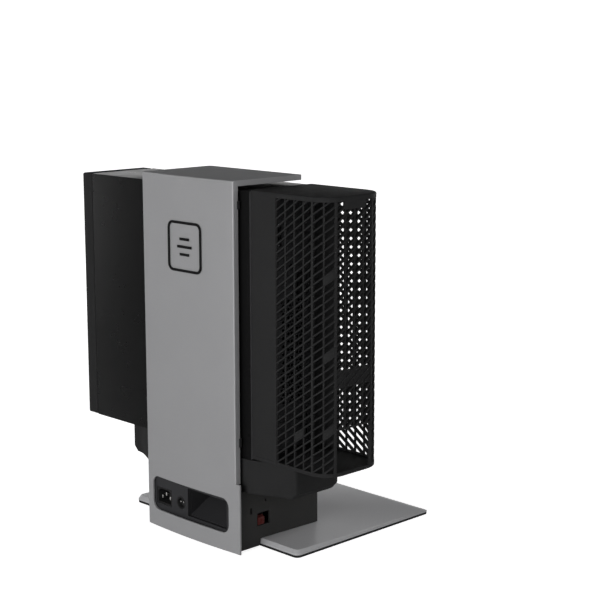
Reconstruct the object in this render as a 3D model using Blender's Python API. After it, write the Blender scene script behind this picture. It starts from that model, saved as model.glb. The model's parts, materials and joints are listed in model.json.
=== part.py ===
"""Small-form-factor desktop computer standing in an all-in-one monitor stand.

Frame: +Z up, origin on the floor at the centre of the bounding box. The silver rear cover faces
+Y, the monitor side faces -Y, the cable cover is on -X and the computer's front bezel on +X.
"""

import math

import bmesh
import bpy
from mathutils import Matrix, Vector

# Driving dimensions, in metres.
GAP = 0.0004              # clearance left between neighbouring pieces

COVER_W = 0.152           # rear cover: width, height, sheet and bow of its face
COVER_H = 0.411
COVER_SHEET = 0.002
COVER_BOW = 0.003
COVER_FLANGE = 0.007      # depth of its side flanges
COVER_LIP = 0.006         # depth of the lip round its top plate
COVER_BEND = 0.0025       # radius of the bend at its top
COVER_EDGE = 0.0014       # radius of its upright edges
INNER_EDGE = 0.0003       # radius inside them
COVER_FOOT = 0.0004       # its bottom edge stands this far off the floor
COVER_TAB = 0.0064        # below its -X flange the sheet runs on flat by this much
FLANGE_FOOT = 0.079       # the side flanges end at this height
FACE_Y = 0.1275           # plane of the rear cover's side edges
TOP_PLATE_Y = FACE_Y - 0.101

WINDOW_HALF = 0.065       # window near the cover's foot
WINDOW_Z = (0.0205, 0.0605)
WINDOW_R = 0.010

BASE_X = (-0.1333, 0.1472)
BASE_Y = (-0.1297, 0.0899)
BASE_BOTTOM = 0.0024
BASE_REAR_TOP = 0.0088    # the plate is a wedge: thick at the rear, thin at the front
BASE_FRONT_TOP = 0.0044
BASE_R = 0.006
PAD_TOP = 0.0020
PAD_INSET = 0.0003

HOUSING_HALF = 0.0752
HOUSING_Y = (-0.0015, FACE_Y - COVER_SHEET - GAP)
HOUSING_TOP = 0.0686
HOUSING_WALL = 0.003

CRADLE_HALF = 0.140
CRADLE_Z = (HOUSING_TOP + GAP, 0.1069)
CRADLE_CHAMFER = 0.006

PC_X = (-0.090, 0.203)
PC_Y = (0.0241, 0.1167)
PC_Z = (0.1083, 0.4006)
PC_SHEET = 0.0015
BEZEL_DEPTH = 0.018
BEZEL_WALL = 0.0025

CABLE_X = (-0.203, -0.0915)
CABLE_Y = (0.0245, 0.1155)
CABLE_Z = (0.1095, 0.402)
CABLE_WALL = 0.002
CABLE_REAR_R = 0.017
CABLE_FRONT_R = 0.030
EXIT_Y = (0.0455, 0.0955)  # cable exit at the foot of the cable cover's outer wall
EXIT_Z = (0.1135, 0.160)

RISER_HALF = 0.050
RISER_Y = (0.0022, 0.0198)
RISER_TOP = 0.396
RISER_WALL = 0.003
SLOT_HALF = 0.022
SLOT_Z = (0.200, 0.391)
HINGE_Y = -0.024
HINGE_Z = 0.325
PIVOT_HALF = 0.059
VESA_HALF = 0.050

LATCH_Y = (0.0845, 0.0945)  # red release latch on the housing's -X side
LATCH_Z = (0.0252, 0.0340)
LATCH_HOLE_Z = (0.0240, 0.0389)

FAN_X, FAN_Z, FAN_R = -0.020, 0.245, 0.034
PSU_X = (-0.088, 0.045)
PSU_Y = (0.050, 0.1125)
PSU_Z = (0.322, 0.3960)
PSU_FAN_R = 0.025

DRIVE_X = (0.055, 0.1815)  # slim optical drive
DRIVE_Y = (0.0280, 0.0407)
DRIVE_Z = (0.250, 0.378)


# ---------------------------------------------------------------- materials

def make_material(name, colour, roughness, metallic=0.0):
    material = bpy.data.materials.new(name)
    material.use_nodes = True
    shader = material.node_tree.nodes["Principled BSDF"]
    shader.inputs["Base Color"].default_value = (*colour, 1.0)
    shader.inputs["Roughness"].default_value = roughness
    shader.inputs["Metallic"].default_value = metallic
    material.diffuse_color = (*colour, 1.0)
    return material


def make_materials():
    return {
        "silver_paint": make_material("silver_paint", (0.32, 0.32, 0.33), 0.38, 0.6),
        "base_silver": make_material("base_silver", (0.24, 0.24, 0.25), 0.36, 0.7),
        "black_plastic": make_material("black_plastic", (0.022, 0.022, 0.023), 0.5),
        "black_steel": make_material("black_steel", (0.016, 0.016, 0.017), 0.45, 0.2),
        "dark_bezel": make_material("dark_bezel", (0.035, 0.035, 0.038), 0.42),
        "badge_black": make_material("badge_black", (0.006, 0.006, 0.006), 0.35),
        "red_plastic": make_material("red_plastic", (0.35, 0.03, 0.02), 0.45),
        "rubber": make_material("rubber", (0.012, 0.012, 0.012), 0.85),
        "bright_metal": make_material("bright_metal", (0.7, 0.7, 0.7), 0.25, 1.0),
        "zinc_steel": make_material("zinc_steel", (0.45, 0.46, 0.47), 0.4, 0.9),
        "board_green": make_material("board_green", (0.01, 0.07, 0.03), 0.5),
        "fin_aluminium": make_material("fin_aluminium", (0.6, 0.6, 0.61), 0.35, 1.0),
        "grey_plastic": make_material("grey_plastic", (0.18, 0.18, 0.19), 0.5),
    }


# ---------------------------------------------------------------- shape tools

def clear_scene():
    for old in list(bpy.data.objects):
        bpy.data.objects.remove(old, do_unlink=True)


def add_object(name, bm, material=None, origin=(0, 0, 0)):
    """Turn a bmesh in world coordinates into an object whose origin is at the given point."""
    bmesh.ops.translate(bm, verts=bm.verts, vec=-Vector(origin))
    bmesh.ops.recalc_face_normals(bm, faces=bm.faces)
    mesh = bpy.data.meshes.new(name)
    bm.to_mesh(mesh)
    bm.free()
    obj = bpy.data.objects.new(name, mesh)
    obj.location = origin
    bpy.context.scene.collection.objects.link(obj)
    if material:
        mesh.materials.append(material)
    else:
        obj.hide_render = True
        obj.display_type = "WIRE"
    return obj


def box_mesh(low, high):
    bm = bmesh.new()
    bmesh.ops.create_cube(bm, size=1.0)
    size = Vector(high) - Vector(low)
    centre = (Vector(high) + Vector(low)) / 2
    bmesh.ops.scale(bm, vec=size, verts=bm.verts)
    bmesh.ops.translate(bm, vec=centre, verts=bm.verts)
    return bm


def box(name, low, high, material=None, bevel=0.0, origin=None):
    centre = (Vector(high) + Vector(low)) / 2
    obj = add_object(name, box_mesh(low, high), material, centre if origin is None else origin)
    if bevel:
        add_bevel(obj, bevel)
    return obj


def cylinder(name, centre, radius, depth, axis, material=None, segments=24, origin=None):
    bm = bmesh.new()
    bmesh.ops.create_cone(
        bm, cap_ends=True, segments=segments, radius1=radius, radius2=radius, depth=depth)
    turn = Vector((0, 0, 1)).rotation_difference(Vector(axis)).to_matrix()
    bmesh.ops.rotate(bm, cent=(0, 0, 0), matrix=turn, verts=bm.verts)
    bmesh.ops.translate(bm, vec=Vector(centre), verts=bm.verts)
    obj = add_object(name, bm, material, centre if origin is None else origin)
    smooth(obj)
    return obj


def smooth(obj, degrees=35):
    obj.data.shade_smooth()
    obj.data.set_sharp_from_angle(angle=math.radians(degrees))


def arc(centre, radius, start, end, steps):
    """Points along an arc, angles in degrees."""
    points = []
    for i in range(steps + 1):
        angle = math.radians(start + (end - start) * i / steps)
        points.append((centre[0] + radius * math.cos(angle), centre[1] + radius * math.sin(angle)))
    return points


def rounded_rectangle(low, high, radii, steps=4):
    """Outline of a rectangle; radii are those of its ++, -+, -- and +- corners."""
    centres = ((high[0], high[1], -1, -1), (low[0], high[1], 1, -1),
               (low[0], low[1], 1, 1), (high[0], low[1], -1, 1))
    points = []
    for index, (x, y, sx, sy) in enumerate(centres):
        radius = radii[index]
        centre = (x + sx * radius, y + sy * radius)
        points += arc(centre, radius, 90 * index, 90 * index + 90, steps) if radius else [(x, y)]
    return points


def prism_mesh(outline, start, end, axis="Z"):
    """Extrude a 2-D outline: XY along Z, YZ along X or XZ along Y."""
    place = {
        "Z": lambda p, h: (p[0], p[1], h),
        "X": lambda p, h: (h, p[0], p[1]),
        "Y": lambda p, h: (p[0], h, p[1]),
    }[axis]
    bm = bmesh.new()
    near = [bm.verts.new(place(p, start)) for p in outline]
    far = [bm.verts.new(place(p, end)) for p in outline]
    bm.faces.new(near)
    bm.faces.new(list(reversed(far)))
    for i in range(len(outline)):
        j = (i + 1) % len(outline)
        bm.faces.new((near[i], far[i], far[j], near[j]))
    return bm


def loft_mesh(rings):
    """Closed solid through rings of world points that all have the same number of points."""
    bm = bmesh.new()
    loops = [[bm.verts.new(p) for p in ring] for ring in rings]
    bm.faces.new(loops[0])
    bm.faces.new(list(reversed(loops[-1])))
    for lower, upper in zip(loops, loops[1:]):
        for i in range(len(lower)):
            j = (i + 1) % len(lower)
            bm.faces.new((lower[i], lower[j], upper[j], upper[i]))
    return bm


def boolean(obj, other, operation="DIFFERENCE"):
    modifier = obj.modifiers.new(other.name, "BOOLEAN")
    modifier.operation = operation
    modifier.solver = "EXACT"
    modifier.object = other


def cut(obj, *cutters):
    for cutter in cutters:
        boolean(obj, cutter)


def join(obj, *others):
    for other in others:
        boolean(obj, other, "UNION")


def add_bevel(obj, width, segments=2, angle=30):
    bevel = obj.modifiers.new("bevel", "BEVEL")
    bevel.width = width
    bevel.segments = segments
    bevel.limit_method = "ANGLE"
    bevel.angle_limit = math.radians(angle)


def put_under(parent, *children):
    """Parent pieces to an empty or a piece, and leave them where they are."""
    for child in children:
        child.parent = parent
        child.matrix_parent_inverse = Matrix.Translation(parent.location).inverted()


def add_axis(name, location):
    empty = bpy.data.objects.new(name, None)
    empty.location = location
    bpy.context.scene.collection.objects.link(empty)
    return empty


# ---------------------------------------------------------------- stand: base

def base_top(y):
    """Height of the base plate's sloping top."""
    share = (y - BASE_Y[0]) / (BASE_Y[1] - BASE_Y[0])
    return BASE_FRONT_TOP + (BASE_REAR_TOP - BASE_FRONT_TOP) * share


def base_outline(inset):
    low = (BASE_X[0] + inset, BASE_Y[0] + inset)
    high = (BASE_X[1] - inset, BASE_Y[1] - inset)
    return rounded_rectangle(low, high, [BASE_R] * 4, 6)


def make_base(materials):
    edge = 0.0022
    outer = base_outline(0.0)
    inner = base_outline(edge)
    foot = base_outline(0.0008)
    rings = [
        [(x, y, BASE_BOTTOM) for x, y in foot],
        [(x, y, BASE_BOTTOM + 0.0006) for x, y in outer],
        [(x, y, BASE_BOTTOM + 0.0006 + (base_top(y) - BASE_BOTTOM) * 0.30) for x, y in outer],
        [(x, y, base_top(y)) for x, y in inner],
    ]
    plate = add_object("base_plate", loft_mesh(rings), materials["base_silver"])
    pad = add_object(
        "base_pad", prism_mesh(base_outline(PAD_INSET), 0.0, PAD_TOP), materials["rubber"])
    return plate, pad


# ---------------------------------------------------------------- stand: lower housing

def make_housing(materials):
    low = (-HOUSING_HALF, HOUSING_Y[0])
    high = (HOUSING_HALF, HOUSING_Y[1])
    outline = rounded_rectangle(low, high, [0.001, 0.001, 0.003, 0.003], 3)
    housing = add_object(
        "lower_housing", prism_mesh(outline, 0.001, HOUSING_TOP), materials["black_plastic"])

    wall = HOUSING_WALL
    cavity = box("housing_cavity", (low[0] + wall, low[1] + wall, -0.01),
                 (high[0] - wall, high[1] - wall, HOUSING_TOP - wall))
    front = BASE_Y[0]
    rear = BASE_Y[1] + 2 * GAP
    clearance = [(front, -0.01), (rear, -0.01), (rear, base_top(rear) + GAP),
                 (front, base_top(front) + GAP)]
    over_base = add_object("base_clearance", prism_mesh(clearance, -0.2, 0.2, "X"))
    window = box("bezel_hole", (-0.068, high[1] - 0.02, 0.0175), (0.068, high[1] + 0.02, 0.0635))
    riser_hole = box("riser_hole", (-RISER_HALF - GAP, RISER_Y[0] - GAP, 0.05),
                     (RISER_HALF + GAP, RISER_Y[1] + GAP, 0.09))
    outside = -HOUSING_HALF - 0.01
    latch_hole = box("latch_hole", (outside, LATCH_Y[0] - 0.009, LATCH_HOLE_Z[0]),
                     (-HOUSING_HALF + 0.02, LATCH_Y[1] + GAP, LATCH_HOLE_Z[1]))
    slot = box("side_slot", (outside, 0.1025, 0.040), (-HOUSING_HALF + 0.02, 0.1055, 0.047))
    peg_hole = cylinder(
        "side_hole", (-HOUSING_HALF, 0.0819, 0.052), 0.0016, 0.02, (1, 0, 0), segments=12)
    cut(housing, cavity, over_base, window, riser_hole, latch_hole, slot, peg_hole)
    return housing


def make_latch(materials):
    """Red release latch: a button with a finger rib and a stop flange behind the wall."""
    wall = HOUSING_WALL
    skin = -HOUSING_HALF
    latch = box("release_latch", (skin - 0.0006, LATCH_Y[0], LATCH_Z[0]),
                (skin + wall + 0.002, LATCH_Y[1] - GAP, LATCH_Z[1]),
                materials["red_plastic"], 0.0005)
    rib = box("latch_rib", (skin - 0.0016, LATCH_Y[0] + 0.003, LATCH_Z[0] + 0.002),
              (skin + 0.001, LATCH_Y[0] + 0.0045, LATCH_Z[1] - 0.002))
    flange = box("latch_flange", (skin + wall + GAP, LATCH_Y[0] - 0.001, LATCH_HOLE_Z[0] - 0.002),
                 (skin + wall + 0.0035, LATCH_Y[1] + 0.003, LATCH_Z[1] + 0.001))
    join(latch, rib, flange)
    return latch


# ---------------------------------------------------------------- stand: cradle

def cradle_outline(end_inset):
    """Boat-shaped plan of the cradle, from its +X rear corner round to the start again."""
    half = CRADLE_HALF - end_inset
    rear = FACE_Y - 0.0115
    wing_rear = FACE_Y - 0.029
    wing_front = FACE_Y - 0.088
    front = RISER_Y[1] + 2 * GAP
    side = []
    bend = 8
    for i in range(bend + 1):                       # rear edge sweeps out to the wing's end
        t = i / bend
        x = 0.078 + (half - 0.004 - 0.078) * t
        y = rear + (wing_rear - rear) * (3 * t * t - 2 * t ** 3)
        side.append((x, y))
    side += arc((half - 0.004, wing_rear - 0.004), 0.004, 60, 0, 3)
    side += arc((half - 0.018, wing_front + 0.002), 0.018, 0, -90, 6)
    side.append((half - 0.030, front))
    mirrored = [(-x, y) for x, y in reversed(side)]
    return side + mirrored


def make_cradle(materials):
    chamfer = CRADLE_CHAMFER
    bottom, top = CRADLE_Z
    rings = [
        [(x, y, bottom) for x, y in cradle_outline(chamfer)],
        [(x, y, bottom + chamfer) for x, y in cradle_outline(0.0)],
        [(x, y, top) for x, y in cradle_outline(0.0)],
    ]
    cradle = add_object("cradle", loft_mesh(rings), materials["black_plastic"])
    wall = 0.003
    inner = [(x * (1 - wall / CRADLE_HALF), min(max(y, 0.0235), y - wall if y > 0.06 else y + wall))
             for x, y in cradle_outline(chamfer)]
    pocket = add_object("cradle_pocket", prism_mesh(inner, bottom - 0.01, top - 0.004))
    cut(cradle, pocket)
    smooth(cradle, 30)
    return cradle


# ---------------------------------------------------------------- stand: rear cover

def bow(x, y, half, radius):
    """How far the cover's face stands out of its edge plane at x; its upright edges are round."""
    if y < FACE_Y - COVER_FLANGE + 0.002:
        return 0.0
    swell = COVER_BOW * (1 - (x / (COVER_W / 2)) ** 2)
    past = abs(x) - (half - radius)
    if past > 0:
        swell -= radius - math.sqrt(max(radius ** 2 - past ** 2, 0.0))
    return swell


def bowed_prism(profile, half, radius):
    """Extrude a YZ profile along X, with its rear face bowed out and its upright edges rounded."""
    flat = half - radius
    edge = [flat + radius * math.sin(math.radians(angle)) for angle in (22, 44, 66, 90)]
    places = [-x for x in reversed(edge)] + [flat * (i / 7 - 1) for i in range(15)] + edge
    return loft_mesh([[(x, y + bow(x, y, half, radius), z) for y, z in profile] for x in places])


def make_rear_cover(materials):
    half = COVER_W / 2
    top = COVER_H
    bend = COVER_BEND
    inner_y = FACE_Y - COVER_FLANGE
    outer = [(FACE_Y, COVER_FOOT)]
    outer += arc((FACE_Y - bend, top - bend), bend, 0, 90, 5)
    outer += [(TOP_PLATE_Y, top), (TOP_PLATE_Y, top - COVER_LIP)]
    outer += [(inner_y, top - COVER_LIP), (inner_y, COVER_FOOT)]
    cover = add_object("rear_cover", bowed_prism(outer, half, COVER_EDGE),
                       materials["silver_paint"])

    sheet = COVER_SHEET
    hollow = [(FACE_Y - sheet, -0.01)]
    hollow += arc((FACE_Y - bend, top - bend), bend - sheet, 0, 90, 5)
    hollow += [(TOP_PLATE_Y + sheet, top - sheet), (TOP_PLATE_Y + sheet, top - 0.02)]
    hollow += [(inner_y - 0.02, top - 0.02), (inner_y - 0.02, -0.01)]
    inside = add_object("cover_hollow", bowed_prism(hollow, half - sheet, INNER_EDGE))

    foot_space = box("flange_foot_cut", (-half - 0.01, inner_y - 0.02, -0.01),
                     (half + 0.01, FACE_Y - sheet, FLANGE_FOOT))
    tab = box("cover_tab", (-half - COVER_TAB, FACE_Y - sheet, COVER_FOOT),
              (-half + 0.003, FACE_Y, FLANGE_FOOT + 0.001))
    low = (-WINDOW_HALF, WINDOW_Z[0])
    high = (WINDOW_HALF + 0.001, WINDOW_Z[1])
    outline = rounded_rectangle(low, high, [WINDOW_R] * 4, 5)
    window = add_object("cover_window", prism_mesh(outline, FACE_Y - 0.02, FACE_Y + 0.02, "Y"))
    cut(cover, inside, foot_space, window)
    join(cover, tab)
    smooth(cover, 25)
    return cover


def make_badge(materials):
    """Generic badge: a rounded square frame."""
    z, half, line = 0.3335, 0.028, 0.003
    face = FACE_Y + COVER_BOW
    outer = rounded_rectangle((-half, z - half), (half, z + half), [0.008] * 4, 4)
    inner = rounded_rectangle((-half + line, z - half + line), (half - line, z + half - line),
                              [0.005] * 4, 4)
    badge = add_object("cover_badge", prism_mesh(outer, face + GAP, face + 0.0012, "Y"),
                       materials["badge_black"])
    hole = add_object("badge_hole", prism_mesh(inner, face - 0.01, face + 0.01, "Y"))
    cut(badge, hole)
    return badge


def make_clip(name, z, height, materials):
    """Snap clip whose outer tab hooks over the cover's -X flange."""
    x = -COVER_W / 2
    y = FACE_Y - COVER_FLANGE
    low, high = z - height / 2, z + height / 2
    clip = box(name, (x - 0.0014, y - 0.0014, low), (x + 0.006, y - GAP, high),
               materials["black_plastic"])
    tab = box(name + "_tab", (x - 0.0014, y - 0.0014, low), (x - GAP, y + 0.0016, high))
    join(clip, tab)
    return clip


# ---------------------------------------------------------------- stand: inlet panel

BEZEL_FACE = FACE_Y - COVER_SHEET - GAP
BEZEL_BACK = BEZEL_FACE - 0.004
INLET_X, INLET_Z = 0.050, 0.037     # the inlet is at the window's +X end
AUX_X, AUX_Z = 0.020, 0.036
RECESS_X = (-0.058, 0.008)
RECESS_Z = (0.0235, 0.0560)


def make_inlet_panel(materials):
    """Dark panel in the window, and behind it the cable channel, whose floor is a ramp."""
    bezel = box("inlet_bezel", (-0.0672, BEZEL_BACK, 0.0183), (0.0672, BEZEL_FACE, 0.0627),
                materials["dark_bezel"])
    socket_hole = box("inlet_hole", (INLET_X - 0.0135, 0.0, INLET_Z - 0.010),
                      (INLET_X + 0.0135, 0.2, INLET_Z + 0.010))
    aux_hole = cylinder("aux_hole", (AUX_X, BEZEL_FACE, AUX_Z), 0.0075, 0.03, (0, 1, 0))
    recess = box("recess_hole", (RECESS_X[0], 0.0, RECESS_Z[0]), (RECESS_X[1], 0.2, RECESS_Z[1]))
    cut(bezel, socket_hole, aux_hole, recess)

    wall = 0.0015
    channel = box("cable_channel", (RECESS_X[0] - wall, 0.072, RECESS_Z[0] - wall),
                  (RECESS_X[1] + wall, BEZEL_BACK - GAP, RECESS_Z[1] + wall),
                  materials["dark_bezel"])
    ramp = [(0.0, 0.0440), (0.0740, 0.0440), (0.0850, 0.0420), (0.0970, 0.0370), (0.1090, 0.0302),
            (BEZEL_BACK, RECESS_Z[0] + 0.0003)]
    outline = ramp + [(0.2, RECESS_Z[0] + 0.0003), (0.2, RECESS_Z[1]), (0.0, RECESS_Z[1])]
    channel_hole = add_object("channel_hole", prism_mesh(outline, *RECESS_X, "X"))
    cut(channel, channel_hole)
    return bezel, channel


def make_inlet(materials):
    """Three-pin mains inlet: a cup with a closed back, and three pins in it."""
    back = BEZEL_FACE - 0.020
    inlet = box("power_inlet", (INLET_X - 0.0131, back, INLET_Z - 0.0096),
                (INLET_X + 0.0131, BEZEL_FACE - 0.0005, INLET_Z + 0.0096),
                materials["black_plastic"])
    cup = [(INLET_X - 0.0115, INLET_Z - 0.0080), (INLET_X + 0.0115, INLET_Z - 0.0080),
           (INLET_X + 0.0115, INLET_Z + 0.0040), (INLET_X + 0.0070, INLET_Z + 0.0080),
           (INLET_X - 0.0070, INLET_Z + 0.0080), (INLET_X - 0.0115, INLET_Z + 0.0040)]
    hollow = add_object("inlet_cup", prism_mesh(cup, back + 0.003, 0.2, "Y"))
    cut(inlet, hollow)
    pins = []
    for name, dx, dz in (("inlet_pin_left", 0.007, -0.002), ("inlet_pin_right", -0.007, -0.002),
                         ("inlet_pin_earth", 0.0, 0.002)):
        x, z = INLET_X + dx, INLET_Z + dz
        pins.append(box(name, (x - 0.001, back + 0.003 + GAP, z - 0.002),
                        (x + 0.001, BEZEL_FACE - 0.003, z + 0.002),
                        materials["bright_metal"], 0.0003))
    return inlet, pins


def make_aux_socket(materials):
    back = BEZEL_FACE - 0.010
    socket = cylinder("aux_socket", (AUX_X, (back + BEZEL_FACE) / 2, AUX_Z), 0.0071,
                      BEZEL_FACE - back, (0, 1, 0), materials["black_plastic"])
    hollow = cylinder("aux_cup", (AUX_X, BEZEL_FACE, AUX_Z), 0.0058, 0.010, (0, 1, 0))
    cut(socket, hollow)
    pins = []
    for name, dx in (("aux_pin_left", 0.0024), ("aux_pin_right", -0.0024)):
        pins.append(cylinder(name, (AUX_X + dx, BEZEL_FACE - 0.0030, AUX_Z + 0.001), 0.0009,
                             0.0030, (0, 1, 0), materials["bright_metal"], 12))
    return socket, pins


# ---------------------------------------------------------------- stand: monitor column

def make_riser(materials):
    """Monitor column: back plate with a foot, two rails, a slotted front plate and a cap."""
    steel = materials["black_steel"]
    wall = RISER_WALL
    near, rear = RISER_Y
    foot_end = 0.046
    foot = base_top(foot_end) + GAP
    head = RISER_TOP - wall - GAP
    back = box("riser", (-RISER_HALF, rear - wall, foot), (RISER_HALF, rear, head), steel)
    join(back, box("riser_flange", (-0.045, rear - 0.001, foot), (0.045, foot_end, foot + wall)))
    screws = []
    for name, x in (("riser_screw_left", 0.032), ("riser_screw_right", -0.032)):
        cut(back, cylinder(name + "_hole", (x, 0.034, foot), 0.0025, 0.02, (0, 0, 1), segments=12))
        screw = cylinder(name, (x, 0.034, foot + wall + GAP + 0.0012), 0.0045, 0.0024, (0, 0, 1),
                         materials["zinc_steel"], 16)
        cut(screw, cylinder(name + "_drive", (x, 0.034, foot + 0.0065), 0.002, 0.004, (0, 0, 1),
                            segments=6))
        screws.append(screw)
    for name, x in (("riser_rail_left", RISER_HALF - wall), ("riser_rail_right", -RISER_HALF)):
        box(name, (x, near + wall + GAP, foot), (x + wall, rear - wall - GAP, head), steel)
    front = box("riser_front", (-RISER_HALF, near, foot), (RISER_HALF, near + wall, head), steel)
    cut(front, box("riser_slot", (-SLOT_HALF, near - 0.01, SLOT_Z[0]),
                   (SLOT_HALF, near + 2 * wall, SLOT_Z[1])))
    box("riser_cap", (-RISER_HALF, near, RISER_TOP - wall), (RISER_HALF, rear, RISER_TOP),
        materials["black_plastic"], 0.0010)
    return back, screws


def make_carriage(materials):
    """Slider inside the column, its neck through the slot and two ears for the tilt pin."""
    slider = (RISER_Y[0] + RISER_WALL + GAP, RISER_Y[1] - RISER_WALL - GAP)
    reach = RISER_HALF - RISER_WALL - GAP
    carriage = box("height_carriage", (-reach, slider[0], HINGE_Z - 0.080),
                   (reach, slider[1], HINGE_Z + 0.005), materials["zinc_steel"],
                   origin=(0, HINGE_Y, HINGE_Z))
    neck_half = SLOT_HALF - GAP
    neck = box("carriage_neck", (-neck_half, -0.006, HINGE_Z - 0.032),
               (neck_half, slider[0] + 0.002, HINGE_Z + 0.004))
    face = box("carriage_face", (-0.030, -0.010, HINGE_Z - 0.036), (0.030, -0.004, HINGE_Z + 0.016))
    join(carriage, neck, face)
    for side in (-1, 1):
        inside, outside = side * 0.0145, side * 0.0200
        ear = arc((HINGE_Y, HINGE_Z), 0.0085, 90, 270, 8)
        ear = [(y, z) for y, z in ear] + [(-0.006, HINGE_Z - 0.014), (-0.006, HINGE_Z + 0.014)]
        ear_solid = add_object(f"ear_{side}", prism_mesh(
            ear, min(inside, outside), max(inside, outside), "X"))
        join(carriage, ear_solid)
    bore = cylinder("carriage_bore", (0, HINGE_Y, HINGE_Z), 0.0042, 0.06, (1, 0, 0))
    cut(carriage, bore)
    pin = cylinder("tilt_pin", (0, HINGE_Y, HINGE_Z), 0.0038, 0.045, (1, 0, 0),
                   materials["bright_metal"])
    return carriage, pin


def make_tilt_head(materials):
    """Knuckle on the tilt pin with a round boss that carries the pivot plate."""
    head = cylinder("tilt_head", (0, HINGE_Y, HINGE_Z), 0.0095, 0.028, (1, 0, 0),
                    materials["zinc_steel"], origin=(0, HINGE_Y, HINGE_Z))
    arm = box("tilt_arm", (-0.0135, -0.040, HINGE_Z - 0.0085),
              (0.0135, HINGE_Y - 0.004, HINGE_Z + 0.0085))
    boss = cylinder("tilt_boss", (0, -0.0390, HINGE_Z), 0.024, 0.006, (0, 1, 0), segments=32)
    join(head, arm, boss)
    bore = cylinder("head_bore", (0, HINGE_Y, HINGE_Z), 0.0042, 0.06, (1, 0, 0))
    cut(head, bore)
    return head


def make_pivot_plate(materials):
    rear, front = -0.0424, -0.0460
    half = PIVOT_HALF
    outline = rounded_rectangle((-half, HINGE_Z - half), (half, HINGE_Z + half), [0.008] * 4, 4)
    plate = add_object("pivot_plate", prism_mesh(outline, front, rear, "Y"),
                       materials["black_steel"], (0, rear, HINGE_Z))
    for sx in (-1, 1):
        for sz in (-1, 1):
            centre = (sx * VESA_HALF, rear, HINGE_Z + sz * VESA_HALF)
            hole = cylinder(f"vesa_hole_{sx}_{sz}", centre, 0.0025, 0.03, (0, 1, 0), segments=12)
            cut(plate, hole)
    button_hole = box("button_hole", (-0.0104, -0.06, HINGE_Z - 0.0474),
                      (0.0104, -0.02, HINGE_Z - 0.0316))
    cut(plate, button_hole)
    button = box("mount_button", (-0.010, rear - 0.003, HINGE_Z - 0.047),
                 (0.010, rear + 0.005, HINGE_Z - 0.035), materials["grey_plastic"], 0.0008)
    return plate, button


# ---------------------------------------------------------------- computer: case

def make_chassis(materials):
    front = PC_X[1] - BEZEL_DEPTH - 2 * GAP
    low = (PC_X[0], PC_Y[0] + PC_SHEET + GAP, PC_Z[0])
    high = (front, PC_Y[1], PC_Z[1])
    chassis = box("chassis", low, high, materials["black_steel"], 0.0008)
    sheet = PC_SHEET
    inside = box("chassis_inside", (low[0] + sheet, low[1] - 0.01, low[2] + sheet),
                 (high[0] - sheet, high[1] - sheet, high[2] - sheet))
    cut(chassis, inside)
    x = low[0]
    openings = {
        "io_hole": ((x - 0.01, 0.0735, 0.1595), (x + 0.01, 0.1085, 0.3185)),
        "slot_hole_lower": ((x - 0.01, 0.032, 0.1215), (x + 0.01, 0.104, 0.1335)),
        "slot_hole_upper": ((x - 0.01, 0.032, 0.1415), (x + 0.01, 0.104, 0.1535)),
        "psu_hole": ((x - 0.01, 0.0705, 0.337), (x + 0.01, 0.1015, 0.362)),
        "drive_hole": ((high[0] - 0.01, DRIVE_Y[0] - 0.001, DRIVE_Z[0] - 0.001),
                       (high[0] + 0.01, DRIVE_Y[1] + 0.001, DRIVE_Z[1] + 0.001)),
        "port_hole": ((high[0] - 0.01, 0.084, 0.185), (high[0] + 0.01, 0.104, 0.235)),
        "button_space": ((high[0] - 0.01, 0.080, 0.366), (high[0] + 0.01, 0.100, 0.386)),
    }
    for name, (start, end) in openings.items():
        cut(chassis, box(name, start, end))
    return chassis


def make_side_cover(materials):
    front = PC_X[1] - BEZEL_DEPTH - 2 * GAP
    return box("side_cover", (PC_X[0], PC_Y[0], PC_Z[0]),
               (front, PC_Y[0] + PC_SHEET, PC_Z[1]), materials["black_steel"], 0.0005)


def make_front_bezel(materials):
    rear = PC_X[1] - BEZEL_DEPTH
    low = (rear, PC_Y[0], PC_Z[0])
    high = (PC_X[1], PC_Y[1], PC_Z[1])
    bezel = box("front_bezel", low, high, materials["black_plastic"], 0.002)
    wall = BEZEL_WALL
    inside = box("bezel_inside", (rear - 0.01, low[1] + wall, low[2] + wall),
                 (high[0] - wall, high[1] - wall, high[2] - wall))
    face = high[0]
    tray_hole = box("tray_hole", (face - 0.01, DRIVE_Y[0] - 0.0006, DRIVE_Z[0] - 0.0006),
                    (face + 0.01, DRIVE_Y[1] + 0.0006, DRIVE_Z[1] + 0.0006))
    port_hole = box("bezel_port_hole", (face - 0.01, 0.0866, 0.1876), (face + 0.01, 0.1014, 0.2324))
    button_hole = cylinder("bezel_button_hole", (face, 0.090, 0.376), 0.0074, 0.02, (1, 0, 0))
    cut(bezel, inside, tray_hole, port_hole, button_hole)
    grille_low, grille_high = (0.0335, 0.1215), (0.1045, 0.1779)
    cut(bezel, box("grille_hole", (face - 0.01, *grille_low), (face + 0.01, *grille_high)))
    grille = box("bezel_grille", (face - wall, grille_low[0] + GAP, grille_low[1] + GAP),
                 (face - 0.0005, grille_high[0] - GAP, grille_high[1] - GAP),
                 materials["black_plastic"])
    for row in range(8):
        z = 0.1244 + row * 0.0068
        cut(grille, box(f"bezel_vent_{row}", (face - 0.01, 0.036, z),
                        (face + 0.01, 0.102, z + 0.0032)))
    return bezel, grille


def make_power_button(materials):
    button = cylinder("power_button", (PC_X[1] - 0.0035, 0.090, 0.376), 0.0069, 0.007, (1, 0, 0),
                      materials["grey_plastic"], 28)
    stem = cylinder("button_stem", (PC_X[1] - 0.010, 0.090, 0.376), 0.003, 0.008, (1, 0, 0))
    join(button, stem)
    return button


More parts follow.
